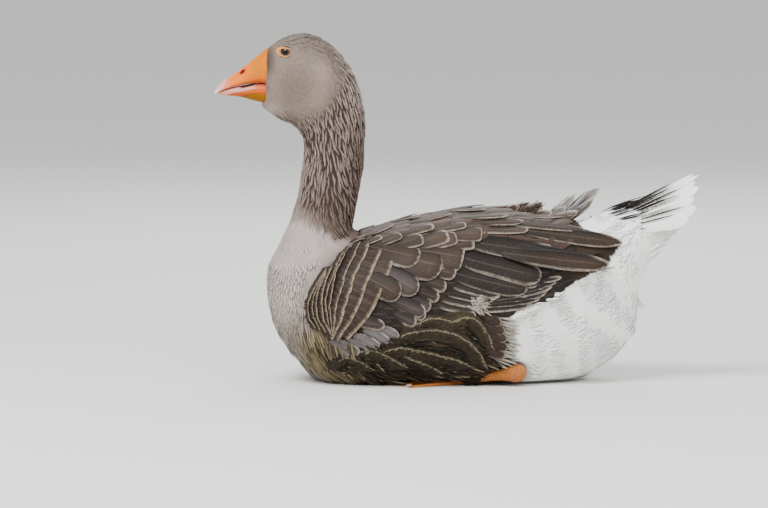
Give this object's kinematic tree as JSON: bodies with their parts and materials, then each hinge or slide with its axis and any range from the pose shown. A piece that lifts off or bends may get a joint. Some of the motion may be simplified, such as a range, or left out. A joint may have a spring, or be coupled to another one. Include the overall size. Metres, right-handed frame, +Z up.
{
  "type": "domestic goose",
  "caption": "Still life-size model of a grey farm goose lying down with its neck raised, orange bill, white rump and folded wings.",
  "frame": {"origin": "on the floor, in the middle of the flat on which the belly rests", "axes": "+Z up; the goose faces -Y; its left side is +X"},
  "size_m": [0.2214, 0.5356, 0.3824],
  "materials": {
    "grey_feathers": "soft ridged plumage",
    "breast_feathers": "smooth pale plumage",
    "brown_feathers": "brown vanes with pale edges",
    "flight_feathers": "dark vanes with thin pale edges",
    "white_feathers": "fluffy white plumage",
    "bill": "satin horn",
    "bill_nail": "smooth pale horn",
    "eyes": "wet and dark",
    "legs": "scaly skin"
  },
  "bodies": {
    "root": {"head": "grey_feathers", "neck_upper": "grey_feathers", "neck_lower": "grey_feathers", "breast": "breast_feathers", "trunk": "brown_feathers", "rump": "white_feathers", "tail": "white_feathers", "back_plumes": "brown_feathers", "bill_upper": "bill", "bill_nail": "bill_nail", "bill_lower": "bill", "eye_left": "eyes", "eye_right": "eyes", "wing_left": "brown_feathers", "wing_right": "brown_feathers", "flight_feathers_left": "flight_feathers", "flight_feathers_right": "flight_feathers", "shank_left": "legs", "shank_right": "legs", "foot_left": "legs", "foot_right": "legs"}
  },
  "joints": []
}
